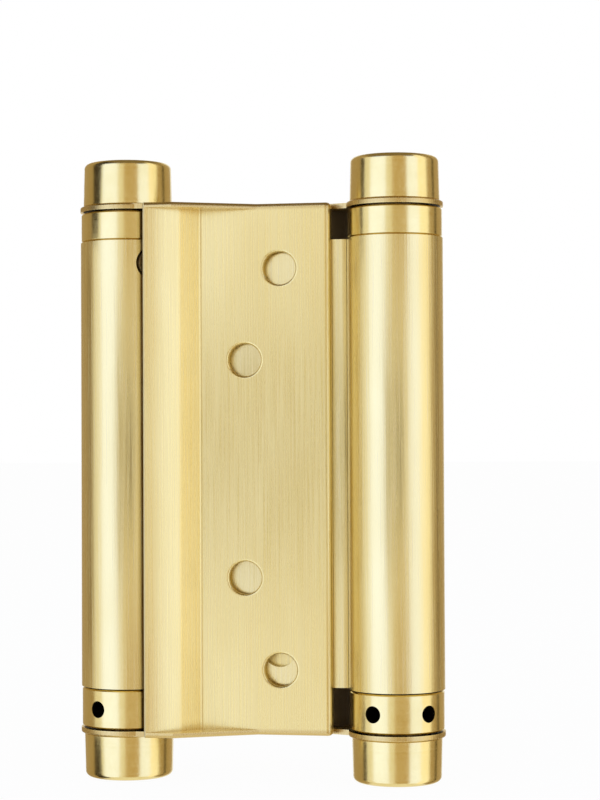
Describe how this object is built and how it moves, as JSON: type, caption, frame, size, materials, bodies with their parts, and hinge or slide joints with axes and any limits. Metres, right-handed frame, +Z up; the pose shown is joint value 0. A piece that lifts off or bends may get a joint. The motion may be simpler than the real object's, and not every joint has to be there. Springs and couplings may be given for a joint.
{
  "type": "double action spring hinge",
  "caption": "Satin brass double action cafe door hinge: screw leaves on spring barrels joined by a rolled web, with turned end caps and tension collars.",
  "frame": {"origin": "midway between the two barrel axes, at mid height of the leaves", "axes": "+Z up along the barrels, +X from the front leaf's barrel to the rear leaf's, -Y out of the front leaf"},
  "size_m": [0.053, 0.0156, 0.0888],
  "materials": {
    "leaf_brass": "satin, brushed up and down",
    "barrel_brass": "satin, brushed up and down",
    "cap_brass": "satin, turned",
    "collar_brass": "satin, turned",
    "pin_brass": "dull",
    "washer_brass": "plain",
    "spindle_steel": "bright drawn",
    "spring_steel": "oiled"
  },
  "bodies": {
    "jamb_leaf": {"rear_leaf": "leaf_brass", "right_spindle": "spindle_steel", "right_top_cap": "cap_brass", "right_top_washer": "washer_brass", "right_bottom_cap": "cap_brass", "right_bottom_washer": "washer_brass"},
    "web": {"barrel_web": "barrel_brass", "left_top_collar": "collar_brass", "right_top_collar": "collar_brass", "left_anchor_pin": "pin_brass", "right_anchor_pin": "pin_brass", "left_spring": "spring_steel", "right_spring": "spring_steel"},
    "door_leaf": {"front_leaf": "leaf_brass", "left_spindle": "spindle_steel", "left_top_cap": "cap_brass", "left_top_washer": "washer_brass", "left_bottom_cap": "cap_brass", "left_bottom_washer": "washer_brass"},
    "left_collar": {"left_tension_collar": "collar_brass"},
    "right_collar": {"right_tension_collar": "collar_brass"}
  },
  "joints": [
    {"name": "web_swing", "type": "hinge", "parent": "jamb_leaf", "child": "web", "pos_m": [0.0196, 0, 0], "axis": [0, 0, 1], "range_deg": [0, 120], "stiffness_Nm_per_rad": 0.2, "deforming": ["right_spring"]},
    {"name": "leaf_swing", "type": "hinge", "parent": "web", "child": "door_leaf", "pos_m": [-0.0196, 0, 0], "axis": [0, 0, -1], "range_deg": [0, 120], "stiffness_Nm_per_rad": 0.2, "deforming": ["left_spring"]},
    {"name": "left_tension", "type": "hinge", "parent": "door_leaf", "child": "left_collar", "pos_m": [-0.0196, 0, 0], "axis": [0, 0, -1], "range_deg": [0, 216], "stiffness_Nm_per_rad": 0.2, "deforming": ["left_spring"]},
    {"name": "right_tension", "type": "hinge", "parent": "jamb_leaf", "child": "right_collar", "pos_m": [0.0196, 0, 0], "axis": [0, 0, -1], "range_deg": [0, 216], "stiffness_Nm_per_rad": 0.2, "deforming": ["right_spring"]}
  ]
}
